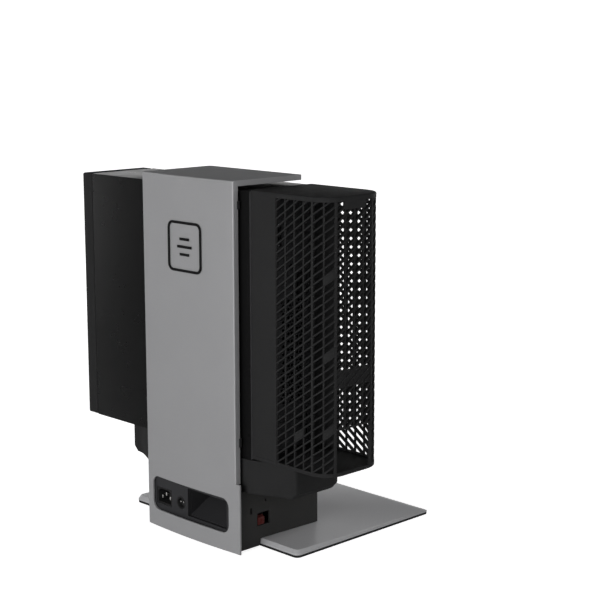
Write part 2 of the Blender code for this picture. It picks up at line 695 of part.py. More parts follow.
def make_front_ports(materials):
    """Port block: two flat sockets and a round jack, facing +X."""
    face = PC_X[1] - 0.0008
    block = box("front_ports", (face - 0.016, 0.0870, 0.1880), (face, 0.1010, 0.2320),
                materials["black_plastic"])
    for index, z in enumerate((0.1975, 0.2135)):
        cut(block, box(f"port_{index}", (face - 0.010, 0.0913, z - 0.0062),
                       (face + 0.01, 0.0967, z + 0.0062)))
    cut(block, cylinder("jack_hole", (face, 0.094, 0.2265), 0.0018, 0.016, (1, 0, 0), segments=12))
    return block


def make_feet(materials):
    feet = []
    for name, x, y in (("foot_front_rear", 0.151, 0.104), ("foot_front_near", 0.151, 0.036),
                       ("foot_back_rear", -0.060, 0.104), ("foot_back_near", -0.060, 0.036)):
        feet.append(box(name, (x - 0.010, y - 0.006, CRADLE_Z[1] + GAP),
                        (x + 0.010, y + 0.006, PC_Z[0] - GAP), materials["rubber"], 0.0004))
    return feet


def make_cover_latch(materials):
    """Latch that frees the computer's side cover, on its rear wall."""
    x = PC_X[0] - GAP
    latch = box("cover_latch", (x - 0.003, 0.034, 0.282), (x, 0.048, 0.306),
                materials["black_plastic"], 0.0006)
    rib = box("cover_latch_rib", (x - 0.006, 0.036, 0.292), (x - 0.001, 0.046, 0.295))
    join(latch, rib)
    return latch


# ---------------------------------------------------------------- computer: inside

def make_motherboard(materials):
    board = box("motherboard", (-0.086, 0.1080, 0.118), (0.110, 0.1096, 0.3185),
                materials["board_green"])
    for x in (-0.078, 0.100):
        for z in (0.128, 0.308):
            join(board, cylinder(f"standoff_{x}_{z}", (x, 0.1112, z), 0.003, 0.0050, (0, 1, 0),
                                 segments=10))
    return board


def make_io_panel(materials):
    """Rear socket panel, with the socket shells standing out of it."""
    x = PC_X[0]
    panel = box("io_panel", (x - 0.0010, 0.0740, 0.1600), (x + 0.0010, 0.1080, 0.3180),
                materials["black_steel"])
    sockets = {
        "io_usb_a": (0.1700, 0.0140), "io_usb_b": (0.1890, 0.0140), "io_network": (0.2100, 0.0160),
        "io_display_a": (0.2340, 0.0180), "io_display_b": (0.2590, 0.0180),
        "io_audio": (0.2810, 0.0120), "io_serial": (0.3010, 0.0200),
    }
    for name, (z, height) in sockets.items():
        shell = box(name, (x - 0.0022, 0.0820, z - height / 2), (x + 0.012, 0.0985, z + height / 2))
        join(panel, shell)
    for name, (z, height) in sockets.items():
        hole = box(name + "_hole", (x - 0.01, 0.0840, z - height / 2 + 0.0015),
                   (x + 0.008, 0.0965, z + height / 2 - 0.0015))
        cut(panel, hole)
    return panel


def make_slot_covers(materials):
    covers = []
    x = PC_X[0] + PC_SHEET + GAP
    for name, z in (("slot_cover_lower", 0.1275), ("slot_cover_upper", 0.1475)):
        covers.append(box(name, (x, 0.030, z - 0.0085), (x + 0.001, 0.106, z + 0.0085),
                          materials["black_steel"]))
    return covers


def make_memory(materials):
    modules = []
    for name, x in (("memory_module_inner", 0.0800), ("memory_module_outer", 0.0900)):
        module = box(name, (x - 0.0007, 0.0740, 0.170), (x + 0.0007, 0.1076, 0.3030),
                     materials["board_green"])
        for i in range(4):
            z = 0.1805 + i * 0.031
            join(module, box(f"{name}_chip_{i}", (x - 0.0018, 0.080, z),
                             (x + 0.0018, 0.092, z + 0.020)))
        modules.append(module)
    return modules


def make_heatsink(materials):
    half = 0.041
    sink = box("cpu_heatsink", (FAN_X - half, 0.0670, FAN_Z - half),
               (FAN_X + half, 0.1070, FAN_Z + half), materials["fin_aluminium"])
    fins = 9
    pitch = 2 * half / (fins + 1)
    for i in range(fins):
        x = FAN_X - half + pitch * (i + 1)
        cut(sink, box(f"fin_gap_{i}", (x - pitch * 0.28, 0.06, FAN_Z - half - 0.01),
                      (x + pitch * 0.28, 0.1015, FAN_Z + half + 0.01)))
    return sink


def fan_mesh(centre, radius, hub, depth, axis, blades=7):
    """Hub and blade solids of a rotor, as separate bmeshes in world coordinates."""
    turn = Vector((0, 0, 1)).rotation_difference(Vector(axis)).to_matrix()
    place = Matrix.Translation(Vector(centre)) @ turn.to_4x4()
    hub_bm = bmesh.new()
    bmesh.ops.create_cone(
        hub_bm, cap_ends=True, segments=20, radius1=hub, radius2=hub, depth=depth)
    hub_bm.transform(place)
    blade_meshes = []
    for i in range(blades):
        blade = box_mesh((hub * 0.7, -0.0006, -depth * 0.55), (radius, 0.0006, depth * 0.55))
        blade.transform(Matrix.Rotation(math.radians(38), 4, "X"))
        blade.transform(Matrix.Rotation(2 * math.pi * i / blades, 4, "Z"))
        blade.transform(place)
        blade_meshes.append(blade)
    return hub_bm, blade_meshes


def make_fan(name, centre, radius, hub, depth, axis, material):
    hub_bm, blades = fan_mesh(centre, radius, hub, depth, axis)
    rotor = add_object(name, hub_bm, material, centre)
    for i, blade in enumerate(blades):
        join(rotor, add_object(f"{name}_blade_{i}", blade))
    return rotor


def make_fan_shroud(materials):
    half = 0.041
    shroud = box("fan_shroud", (FAN_X - half, 0.0530, FAN_Z - half),
                 (FAN_X + half, 0.0666, FAN_Z + half), materials["black_plastic"], 0.001)
    bore = cylinder("shroud_bore", (FAN_X, 0.060, FAN_Z), FAN_R + 0.002, 0.05, (0, 1, 0),
                    segments=32)
    cut(shroud, bore)
    bar = box("shroud_bar", (FAN_X - half + 0.001, 0.0645, FAN_Z - 0.003),
              (FAN_X + half - 0.001, 0.0665, FAN_Z + 0.003))
    join(shroud, bar)
    return shroud


def make_drive_bay(materials):
    """Hard drive in a sheet caddy that wraps three of its sides."""
    low = (0.033, 0.0275, 0.118)
    high = (0.180, 0.0540, 0.220)
    drive = box("hard_drive", low, high, materials["fin_aluminium"], 0.0015)
    side = 0.0015
    caddy = box("drive_caddy", (low[0], low[1], low[2] - side - GAP),
                (high[0], high[1] + side + GAP, high[2] + side + GAP), materials["zinc_steel"])
    cut(caddy, box("caddy_inside", (low[0] - 0.01, low[1] - 0.01, low[2] - GAP),
                   (high[0] + 0.01, high[1] + GAP, high[2] + GAP)))
    return drive, caddy


def make_power_supply(materials):
    psu = box("power_supply", (PSU_X[0] - GAP + 0.0008, PSU_Y[0], PSU_Z[0]),
              (PSU_X[1], PSU_Y[1], PSU_Z[1]), materials["zinc_steel"], 0.0008)
    sheet = 0.0015
    inside = box("psu_inside", (PSU_X[0] + 3 * sheet, PSU_Y[0] + sheet, PSU_Z[0] + sheet),
                 (PSU_X[1] - sheet, PSU_Y[1] - sheet, PSU_Z[1] - sheet))
    centre = (PSU_X[1], (PSU_Y[0] + PSU_Y[1]) / 2, (PSU_Z[0] + PSU_Z[1]) / 2)
    mouth = cylinder("psu_mouth", centre, PSU_FAN_R + 0.002, 0.03, (1, 0, 0), segments=28)
    socket_hole = box("psu_socket_hole", (PSU_X[0] - 0.01, 0.0722, 0.3392),
                      (PSU_X[0] + 0.02, 0.0998, 0.3598))
    cut(psu, inside, mouth, socket_hole)
    socket = box("psu_socket", (PC_X[0] - 0.0010, 0.0726, 0.3396),
                 (PSU_X[0] + 0.016, 0.0994, 0.3594), materials["black_plastic"])
    cup = box("psu_socket_cup", (PC_X[0] - 0.02, 0.0750, 0.3415),
              (PSU_X[0] + 0.012, 0.0970, 0.3575))
    cut(socket, cup)
    fan_centre = (PSU_X[1] - 0.010, centre[1], centre[2])
    fan = make_fan("psu_fan", fan_centre, PSU_FAN_R, 0.011, 0.010, (1, 0, 0),
                   materials["black_plastic"])
    return psu, socket, fan


def make_optical_drive(materials):
    """Slim drive shell, open at its front, with the tray and its front strip."""
    sheet = 0.0010
    drive = box("optical_drive", (DRIVE_X[0], DRIVE_Y[0], DRIVE_Z[0]),
                (DRIVE_X[1], DRIVE_Y[1], DRIVE_Z[1]), materials["zinc_steel"])
    cut(drive, box("drive_inside", (DRIVE_X[0] + sheet, DRIVE_Y[0] + sheet, DRIVE_Z[0] + sheet),
                   (DRIVE_X[1] + 0.01, DRIVE_Y[1] - sheet, DRIVE_Z[1] - sheet)))
    middle = (DRIVE_Y[0] + DRIVE_Y[1]) / 2
    centre_z = (DRIVE_Z[0] + DRIVE_Z[1]) / 2
    face = PC_X[1]
    tray = box("disc_tray", (DRIVE_X[0] + 0.004, middle - 0.003, DRIVE_Z[0] + 0.0025),
               (face - 0.002, middle + 0.003, DRIVE_Z[1] - 0.0025), materials["black_plastic"])
    strip = box("tray_strip", (face - 0.0035, DRIVE_Y[0], DRIVE_Z[0]),
                (face + 0.0, DRIVE_Y[1], DRIVE_Z[1]))
    join(tray, strip)
    disc = cylinder("disc_recess", (DRIVE_X[0] + 0.068, middle - 0.003, centre_z), 0.0605, 0.005,
                    (0, 1, 0), segments=48)
    button_hole = box("eject_hole", (face - 0.0028, middle - 0.0016, DRIVE_Z[0] + 0.0146),
                      (face + 0.01, middle + 0.0016, DRIVE_Z[0] + 0.0254))
    cut(tray, disc, button_hole)
    eject = box("eject_button", (face - 0.0016, middle - 0.0012, DRIVE_Z[0] + 0.0150),
                (face, middle + 0.0012, DRIVE_Z[0] + 0.0250), materials["grey_plastic"])
    return drive, tray, eject


# ---------------------------------------------------------------- cable cover

def cable_outline(inset):
    """Plan of the cable cover, open towards +X; inset gives its inner skin."""
    low = (CABLE_X[0] + inset, CABLE_Y[0] + inset)
    high = (CABLE_X[1] + (0.02 if inset else 0.0), CABLE_Y[1] - inset)
    radii = [0.0, CABLE_REAR_R - inset, CABLE_FRONT_R - inset, 0.0]
    return rounded_rectangle(low, high, radii, 8)


def make_cable_cover(materials):
    cover = add_object(
        "cable_cover", prism_mesh(cable_outline(0.0), *CABLE_Z), materials["black_plastic"])
    wall = CABLE_WALL
    inside = add_object("cable_inside", prism_mesh(
        cable_outline(wall), CABLE_Z[0] + wall, CABLE_Z[1] - wall))
    outline = rounded_rectangle((EXIT_Y[0], EXIT_Z[0]), (EXIT_Y[1], EXIT_Z[1]), [0.004] * 4, 3)
    exit_hole = add_object("cable_exit", prism_mesh(
        outline, CABLE_X[0] - 0.01, CABLE_X[0] + 2 * wall, "X"))
    cut(cover, inside, exit_hole)
    smooth(cover, 30)
    return cover


# ---------------------------------------------------------------- assembly

def build_stand(materials):
    make_base(materials)
    make_housing(materials)
    make_cradle(materials)
    make_latch(materials)
    make_inlet_panel(materials)
    make_inlet(materials)
    make_aux_socket(materials)
    make_riser(materials)

    cover = make_rear_cover(materials)
    badge = make_badge(materials)
    clips = [make_clip("cover_clip_upper", 0.385, 0.0085, materials),
             make_clip("cover_clip_lower", 0.1255, 0.010, materials)]
    put_under(cover, badge, *clips)

    height = add_axis("height_axis", (0, HINGE_Y, HINGE_Z))
    tilt = add_axis("tilt_axis", (0, HINGE_Y, HINGE_Z))
    put_under(height, *make_carriage(materials))
    put_under(height, tilt)
    head = make_tilt_head(materials)
    put_under(tilt, head)
    plate, button = make_pivot_plate(materials)
    put_under(head, plate)
    put_under(plate, button)


def build_computer(materials):
    chassis = make_chassis(materials)
    fixed = [make_side_cover(materials), *make_front_bezel(materials), make_front_ports(materials),
             make_motherboard(materials), make_io_panel(materials), make_heatsink(materials),
             make_fan_shroud(materials), *make_feet(materials), *make_slot_covers(materials),
             *make_memory(materials), *make_drive_bay(materials)]
    moving = [make_power_button(materials), make_cover_latch(materials),
              make_fan("cpu_fan", (FAN_X, 0.0590, FAN_Z), FAN_R, 0.014, 0.009, (0, 1, 0),
                       materials["black_plastic"])]
    psu = make_power_supply(materials)
    drive, tray, eject = make_optical_drive(materials)
    put_under(chassis, *fixed, *moving, *psu, drive, tray)
    put_under(tray, eject)


def main():
    clear_scene()
    materials = make_materials()
    build_stand(materials)
    build_computer(materials)
    make_cable_cover(materials)
    bpy.context.view_layer.update()


main()
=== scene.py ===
"""Looks, fine pieces, light and camera for a small desktop computer in its monitor stand."""
import json
import math

import bmesh
import bpy
from mathutils import Matrix, Vector


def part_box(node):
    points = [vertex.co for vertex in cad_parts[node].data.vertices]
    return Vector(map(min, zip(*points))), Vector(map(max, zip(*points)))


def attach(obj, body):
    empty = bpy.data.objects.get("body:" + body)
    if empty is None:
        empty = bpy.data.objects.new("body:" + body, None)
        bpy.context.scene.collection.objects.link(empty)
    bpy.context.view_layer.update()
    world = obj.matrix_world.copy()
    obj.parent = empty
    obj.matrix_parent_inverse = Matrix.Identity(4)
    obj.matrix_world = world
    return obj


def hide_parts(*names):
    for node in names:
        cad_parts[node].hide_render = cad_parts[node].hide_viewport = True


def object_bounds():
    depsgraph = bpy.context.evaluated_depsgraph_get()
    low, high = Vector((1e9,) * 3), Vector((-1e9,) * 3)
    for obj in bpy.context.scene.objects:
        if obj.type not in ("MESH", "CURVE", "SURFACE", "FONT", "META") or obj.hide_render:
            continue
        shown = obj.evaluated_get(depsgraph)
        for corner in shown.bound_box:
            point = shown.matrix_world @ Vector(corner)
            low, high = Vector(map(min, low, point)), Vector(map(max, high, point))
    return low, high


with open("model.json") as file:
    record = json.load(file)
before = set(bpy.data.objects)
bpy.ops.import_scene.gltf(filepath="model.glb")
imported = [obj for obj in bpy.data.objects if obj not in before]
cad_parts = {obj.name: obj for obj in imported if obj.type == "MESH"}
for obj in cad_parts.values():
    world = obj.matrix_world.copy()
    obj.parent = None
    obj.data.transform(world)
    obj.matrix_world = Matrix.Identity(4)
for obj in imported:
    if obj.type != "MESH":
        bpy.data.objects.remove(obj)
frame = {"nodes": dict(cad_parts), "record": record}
CAD_LOW, CAD_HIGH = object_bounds()

MM = 0.001


# ---------------------------------------------------------------- material nodes

NOISE_LOW, NOISE_HIGH = 0.3, 0.7     # most of a noise texture's values lie between these


def new_material(name):
    material = bpy.data.materials.new(name)
    material.use_nodes = True
    tree = material.node_tree
    return material, tree, tree.nodes["Principled BSDF"]


def noise(tree, scale, detail, rough=0.55):
    """Noise fixed to the piece, with scale features to the metre."""
    coords = tree.nodes.new("ShaderNodeTexCoord")
    mapping = tree.nodes.new("ShaderNodeMapping")
    mapping.inputs["Scale"].default_value = (scale, scale, scale)
    tree.links.new(coords.outputs["Object"], mapping.inputs["Vector"])
    node = tree.nodes.new("ShaderNodeTexNoise")
    node.inputs["Scale"].default_value = 1.0
    node.inputs["Detail"].default_value = detail
    node.inputs["Roughness"].default_value = rough
    tree.links.new(mapping.outputs["Vector"], node.inputs["Vector"])
    return node.outputs["Fac"]


def ranged(tree, value, low, high, start=NOISE_LOW, end=NOISE_HIGH):
    """Value from start to end, stretched to run from low to high."""
    node = tree.nodes.new("ShaderNodeMapRange")
    node.inputs["From Min"].default_value = start
    node.inputs["From Max"].default_value = end
    node.inputs["To Min"].default_value = low
    node.inputs["To Max"].default_value = high
    tree.links.new(value, node.inputs["Value"])
    return node.outputs["Result"]


def math_node(tree, operation, a, b):
    node = tree.nodes.new("ShaderNodeMath")
    node.operation = operation
    for socket, value in zip(node.inputs, (a, b)):
        if isinstance(value, (int, float)):
            socket.default_value = value
        else:
            tree.links.new(value, socket)
    return node.outputs["Value"]


def vector_parts(tree, vector):
    """X, Y and Z of a vector."""
    split = tree.nodes.new("ShaderNodeSeparateXYZ")
    tree.links.new(vector, split.inputs["Vector"])
    return split.outputs


def along(tree, vector, direction):
    """How far a vector reaches in a direction."""
    node = tree.nodes.new("ShaderNodeVectorMath")
    node.operation = "DOT_PRODUCT"
    node.inputs[1].default_value = direction
    tree.links.new(vector, node.inputs[0])
    return node.outputs["Value"]


def tinted(tree, colour, factor):
    """The colour times a factor that varies over the surface."""
    node = tree.nodes.new("ShaderNodeVectorMath")
    node.operation = "SCALE"
    node.inputs[0].default_value = colour
    tree.links.new(factor, node.inputs["Scale"])
    return node.outputs["Vector"]


def bump(tree, height, distance):
    node = tree.nodes.new("ShaderNodeBump")
    node.inputs["Strength"].default_value = 1.0
    node.inputs["Distance"].default_value = distance
    tree.links.new(height, node.inputs["Height"])
    return node.outputs["Normal"]


SQUARE_ON = (-0.95, -0.80)    # a wall faces -X below the first value, and doesn't past the second
BEND = (0.84, 0.975)          # largest part of a normal: on a bend, and on a flat face
HIGHLIGHT_PATCH_SCALE = 60.0             # patches of the painted edge highlight, to the metre


def painted_back_light(tree, gain):
    """Painted light: walls that face the piece's -X side, where the sockets are, painted lighter in
    place of light that the space behind the cover's lattice doesn't get.
    """
    coords = tree.nodes.new("ShaderNodeTexCoord")
    facing = vector_parts(tree, coords.outputs["Normal"])["X"]
    return ranged(tree, facing, gain, 1.0, *SQUARE_ON)


def painted_edge_highlight(tree, gain):
    """Painted highlight: lighter along bends and edge breaks, any face that isn't square to the
    piece's axes, in patches.
    """
    coords = tree.nodes.new("ShaderNodeTexCoord")
    size = tree.nodes.new("ShaderNodeVectorMath")
    size.operation = "ABSOLUTE"
    tree.links.new(coords.outputs["Normal"], size.inputs[0])
    parts = vector_parts(tree, size.outputs["Vector"])
    widest = math_node(tree, "MAXIMUM", parts["X"], parts["Y"])
    widest = math_node(tree, "MAXIMUM", widest, parts["Z"])
    patchy = ranged(tree, noise(tree, HIGHLIGHT_PATCH_SCALE, 3.0), 0.75 * gain, gain)
    bent = ranged(tree, widest, 1.0, 0.0, *BEND)
    return math_node(tree, "ADD", math_node(tree, "MULTIPLY", bent, patchy), 1.0)


# ---------------------------------------------------------------- materials

MOTTLE_SCALE = 14.0           # broad mottling and patches of gloss, to the metre
GLOSS_SCALE = 45.0
LEAST_FLECK = 0.02

# Colour and gloss of each material. rough_spread, mottle and fleck say how far the roughness,
# the broad tone and the fine tone vary; grain is in grains to the metre and depth in metres.
# The gain on bends is a painted highlight; the gain on walls that face -X is painted light.
LOOKS = {
    "silver_paint": dict(colour=(0.322, 0.322, 0.329), roughness=0.46, rough_spread=0.03,
                         grain=2600, depth=0.00002, mottle=0.015, fleck=0.05, metallic=0.15,
                         specular=0.0, highlight_gain=0.36),
    "base_silver": dict(colour=(0.470, 0.470, 0.481), roughness=0.33, rough_spread=0.03,
                        grain=2600, depth=0.00001, mottle=0.015, fleck=0.05, metallic=0.15,
                        specular=0.1),
    "black_plastic": dict(colour=(0.0255, 0.0255, 0.0259), roughness=0.62, rough_spread=0.05,
                          grain=1700, depth=0.00005, mottle=0.05, fleck=0.10, specular=0.02),
    "black_steel": dict(colour=(0.0060, 0.0060, 0.0062), roughness=0.32, rough_spread=0.04,
                        grain=2200, depth=0.000008, mottle=0.04, fleck=0.06, specular=0.07,
                        highlight_gain=1.2),
    # case_steel: walls that face -X are painted 13 times lighter, as painted light behind the
    # lattice
    "case_steel": dict(colour=(0.0048, 0.0048, 0.0050), roughness=0.30, rough_spread=0.04,
                       grain=2200, depth=0.000008, mottle=0.04, fleck=0.06, specular=0.06,
                       highlight_gain=1.2, back_light_gain=13.0),
    # black plastic painted lighter for the lower housing: painted light in place of the shade under
    # the cradle
    "black_plastic_painted_lit": dict(colour=(0.0410, 0.0405, 0.0400), roughness=0.62, rough_spread=0.05,
                            grain=1700, depth=0.00005, mottle=0.05, fleck=0.10, specular=0.02),
    "dark_bezel": dict(colour=(0.0340, 0.0340, 0.0362), roughness=0.50, rough_spread=0.04,
                       grain=1800, depth=0.00003, mottle=0.04, fleck=0.06, specular=0.08),
    "badge_black": dict(colour=(0.005, 0.005, 0.0055), roughness=0.45, rough_spread=0.04,
                        grain=2500, depth=0.00001, mottle=0.05, fleck=0.05, specular=0.10),
    "red_plastic": dict(colour=(0.078, 0.012, 0.010), roughness=0.45, rough_spread=0.04,
                        grain=1800, depth=0.00003, mottle=0.05, fleck=0.05, specular=0.2),
    "rubber": dict(colour=(0.012, 0.012, 0.012), roughness=0.75, rough_spread=0.05,
                   grain=1300, depth=0.00008, mottle=0.10, fleck=0.15, specular=0.3),
    "bright_metal": dict(colour=(0.72, 0.71, 0.69), roughness=0.22, rough_spread=0.04,
                         grain=3000, depth=0.00001, mottle=0.03, fleck=0.03, metallic=1.0,
                         specular=0.5),
    "zinc_steel": dict(colour=(0.47, 0.48, 0.49), roughness=0.36, rough_spread=0.08,
                       grain=900, depth=0.00002, mottle=0.06, fleck=0.06, metallic=0.9,
                       specular=0.5),
    "board_green": dict(colour=(0.010, 0.075, 0.030), roughness=0.32, rough_spread=0.05,
                        grain=1400, depth=0.00003, mottle=0.15, fleck=0.20, specular=0.5),
    "fin_aluminium": dict(colour=(0.60, 0.60, 0.61), roughness=0.34, rough_spread=0.05,
                          grain=1600, depth=0.00002, mottle=0.04, fleck=0.05, metallic=0.9,
                          specular=0.5),
    "grey_plastic": dict(colour=(0.17, 0.17, 0.18), roughness=0.45, rough_spread=0.04,
                         grain=1800, depth=0.00004, mottle=0.04, fleck=0.06, specular=0.4),
}


def grained(name, colour, roughness, rough_spread, grain, depth, mottle, fleck, specular,
            metallic=0.0, highlight_gain=0.0, back_light_gain=1.0):
    """Paint, metal or moulded plastic: mottled tone, fine grain in tone and bump, uneven gloss, and
    on some a painted highlight on bends and painted light on walls that face -X.
    """
    material, tree, shader = new_material(name)
    broad = ranged(tree, noise(tree, MOTTLE_SCALE, 2.0), 1.0 - mottle, 1.0 + mottle)
    fine = noise(tree, grain, 2.0, 0.6)
    spread = max(fleck, LEAST_FLECK)
    factor = math_node(tree, "MULTIPLY", broad, ranged(tree, fine, 1.0 - spread, 1.0 + spread))
    if highlight_gain:
        # painted highlight: colour raised along bends and edge breaks
        factor = math_node(tree, "MULTIPLY", factor, painted_edge_highlight(tree, highlight_gain))
    if back_light_gain != 1.0:
        # painted light: walls that face -X painted lighter
        factor = math_node(tree, "MULTIPLY", factor, painted_back_light(tree, back_light_gain))
    tree.links.new(tinted(tree, colour, factor), shader.inputs["Base Color"])
    gloss = ranged(tree, noise(tree, GLOSS_SCALE, 4.0),
                   roughness - rough_spread, roughness + rough_spread)
    tree.links.new(gloss, shader.inputs["Roughness"])
    tree.links.new(bump(tree, fine, depth), shader.inputs["Normal"])
    shader.inputs["Metallic"].default_value = metallic
    shader.inputs["Specular IOR Level"].default_value = specular
    return material


def make_materials():
    return {name: grained(name, **look) for name, look in LOOKS.items()}


# ---------------------------------------------------------------- mesh helpers

SMOOTH_LIMIT = math.radians(35)      # edges flatter than this are shaded smooth


def add_piece(name, vertices, faces, material, body):
    """One mesh piece that rides on a CAD body."""
    mesh = bpy.data.meshes.new(name)
    mesh.from_pydata(vertices, [], faces)
    mesh.update()
    bm = bmesh.new()
    bm.from_mesh(mesh)
    bmesh.ops.recalc_face_normals(bm, faces=bm.faces)
    for edge in bm.edges:
        edge.smooth = len(edge.link_faces) == 2 and edge.calc_face_angle(0.0) < SMOOTH_LIMIT
    for face in bm.faces:
        face.smooth = True
    bm.to_mesh(mesh)
    bm.free()
    mesh.materials.append(material)
    piece = bpy.data.objects.new(name, mesh)
    bpy.context.scene.collection.objects.link(piece)
    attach(piece, body)
    return piece


def chamfered(low, high, cut):
    """Outline of a rectangle with cut corners, as (a, b) pairs."""
    (a0, b0), (a1, b1) = low, high
    return [(a0 + cut, b0), (a1 - cut, b0), (a1, b0 + cut), (a1, b1 - cut),
            (a1 - cut, b1), (a0 + cut, b1), (a0, b1 - cut), (a0, b0 + cut)]


class Builder:
    """Collects closed solids into one mesh."""

    def __init__(self):
        self.vertices, self.faces = [], []

    def sweep(self, rings):
        """Join rings of points, each a closed outline, and close both ends."""
        start, count = len(self.vertices), len(rings[0])
        for ring in rings:
            self.vertices.extend(ring)
        for i in range(len(rings) - 1):
            a = start + i * count
            b = a + count
            for j in range(count):
                k = (j + 1) % count
                self.faces.append((a + j, a + k, b + k, b + j))
        self.faces.append(tuple(start + j for j in reversed(range(count))))
        end = start + (len(rings) - 1) * count
        self.faces.append(tuple(end + j for j in range(count)))

    def block(self, low, high, cut=0.3 * MM, axis=2):
        """Box with cut edges, swept along one axis."""
        a, b = [i for i in range(3) if i != axis]
        rings = []
        for inset, place in ((cut, low[axis]), (0.0, low[axis] + cut), (0.0, high[axis] - cut),
                             (cut, high[axis])):
            ring = []
            for u, v in chamfered((low[a] + inset, low[b] + inset),
                                  (high[a] - inset, high[b] - inset), cut):
                point = [0.0, 0.0, 0.0]
                point[a], point[b], point[axis] = u, v, place
                ring.append(tuple(point))
            rings.append(ring)
        self.sweep(rings)

    def bar(self, x_range, y, z, half_y, half_z, cut=0.3 * MM):
        """Block along X that is centred on y and z."""
        self.block((x_range[0], y - half_y, z - half_z), (x_range[1], y + half_y, z + half_z), cut)

    def turned(self, centre, axis, profile, count):
        """Solid of revolution; profile holds (radius, distance along the axis)."""
        a, b = [i for i in range(3) if i != axis]
        rings = []
        for radius, rise in profile:
            ring = []
            for j in range(count):
                angle = 2 * math.pi * j / count
                point = list(centre)
                point[a] += radius * math.cos(angle)
                point[b] += radius * math.sin(angle)
                point[axis] += rise
                ring.append(tuple(point))
            rings.append(ring)
        self.sweep(rings)

    def piece(self, name, material, body, slot):
        return add_piece(name, self.vertices, self.faces, material, body)


def opening(name):
    """Middle of a hollow that the record states, as x, y and z."""
    for row in frame["record"]["physics"]["openings"]:
        if row["name"] == name:
            low, high = (Vector(corner) for corner in row["box_m"])
            return (low + high) / 2
    raise KeyError(name)


# ---------------------------------------------------------------- CAD nodes that stay

# the lower housing takes a lighter black plastic: painted light against the shade under the cradle
OWN_MATERIAL = {"io_panel": "case_steel", "slot_cover_lower": "case_steel",
                "slot_cover_upper": "case_steel", "lower_housing": "black_plastic_painted_lit"}
EDGE_WIDTH = 0.2 * MM
EDGE_WIDTHS = {"base_plate": 0.4 * MM, "rear_cover": 0.5 * MM, "chassis": 0.3 * MM,
               "side_cover": 0.4 * MM, "front_bezel": 0.6 * MM, "cradle": 0.6 * MM,
               "lower_housing": 0.5 * MM, "cover_badge": 0.25 * MM}
EDGE_LIMIT = math.radians(32)
WELD_DISTANCE = 0.01 * MM


def finish_node(node, material, width):
    """Material, welded vertices and a small rounded edge on a CAD node."""
    node.data.materials.clear()
    node.data.materials.append(material)
    for polygon in node.data.polygons:
        polygon.material_index = 0
        polygon.use_smooth = True
    if "custom_normal" in node.data.attributes:
        node.data.attributes.remove(node.data.attributes["custom_normal"])
    weld = node.modifiers.new("weld", "WELD")
    weld.merge_threshold = WELD_DISTANCE
    edge = node.modifiers.new("edge", "BEVEL")
    edge.width = width
    edge.segments = 2
    edge.limit_method = "ANGLE"
    edge.angle_limit = EDGE_LIMIT
    edge.use_clamp_overlap = True
    edge.harden_normals = True


def finish_nodes(materials):
    for row in frame["record"]["subparts"]:
        name = row["node"]
        material = materials[OWN_MATERIAL.get(name, row["material_slot"])]
        finish_node(frame["nodes"][name], material, EDGE_WIDTHS.get(name, EDGE_WIDTH))


# ---------------------------------------------------------------- cable cover

REAR_R = 24 * MM              # plan radii of the cover's two outer corners
FRONT_R = 30 * MM
CORNER_STEP = 4 * MM          # spacing of the rings round those corners
FIRST_BAR = 36.3 * MM         # path length at the first bar of the lattice
BAY = 13.325 * MM             # bar to bar, along the path
BAYS = 16
PITCH = 9.0 * MM              # slat to slat, upwards; a slat climbs one pitch in one bay
SLAT_PHASE = 5.3 * MM         # height of the slats at the bars, modulo the pitch
SLOPE = PITCH / BAY
TOP_BAND = 5.5 * MM           # plain bands above and below the lattice
BOTTOM_BAND = 4.0 * MM
LATTICE_LAP = 1 * MM          # the lattice reaches this far behind each band
EXIT_TOP = 0.160              # opening for the cables: its top, and its first and last bar
EXIT_BARS = (6, 10)
SLAT_HALF = 1.05 * MM         # half a slat's height, and how deep it reaches behind the skin
SLAT_BACK = 4.5 * MM
SHORTEST_SLAT = 1 * MM
STRONG_BARS = (4, 6, 10)      # these bars are wider than the others and stand flush
STRONG_HALF, STRONG_FRONT = 1.4 * MM, 0.05 * MM
BAR_HALF, BAR_FRONT = 0.95 * MM, 0.95 * MM
CLOSED_CELLS = ((5, 0.3113), (5, 0.2303), (5, 0.1493), (2, 0.1403))   # bay, height at its first bar
BAND_Z = (0.203, 0.222)       # closed band behind the slats
PATCH_Y, PATCH_Z = (0.0585, 0.0895), (0.388, 0.398)      # plain patch under the lid
CASE_LIP = 1.45 * MM          # the cover's upright edges reach this far over the computer's side
WALL = 2 * MM
RAISED_WIDTH = 4 * MM         # raised strip beside the lattice
LID_RIM, FOOT_RIM = 1.8 * MM, 0.3 * MM
LID_HEIGHT = 2.2 * MM


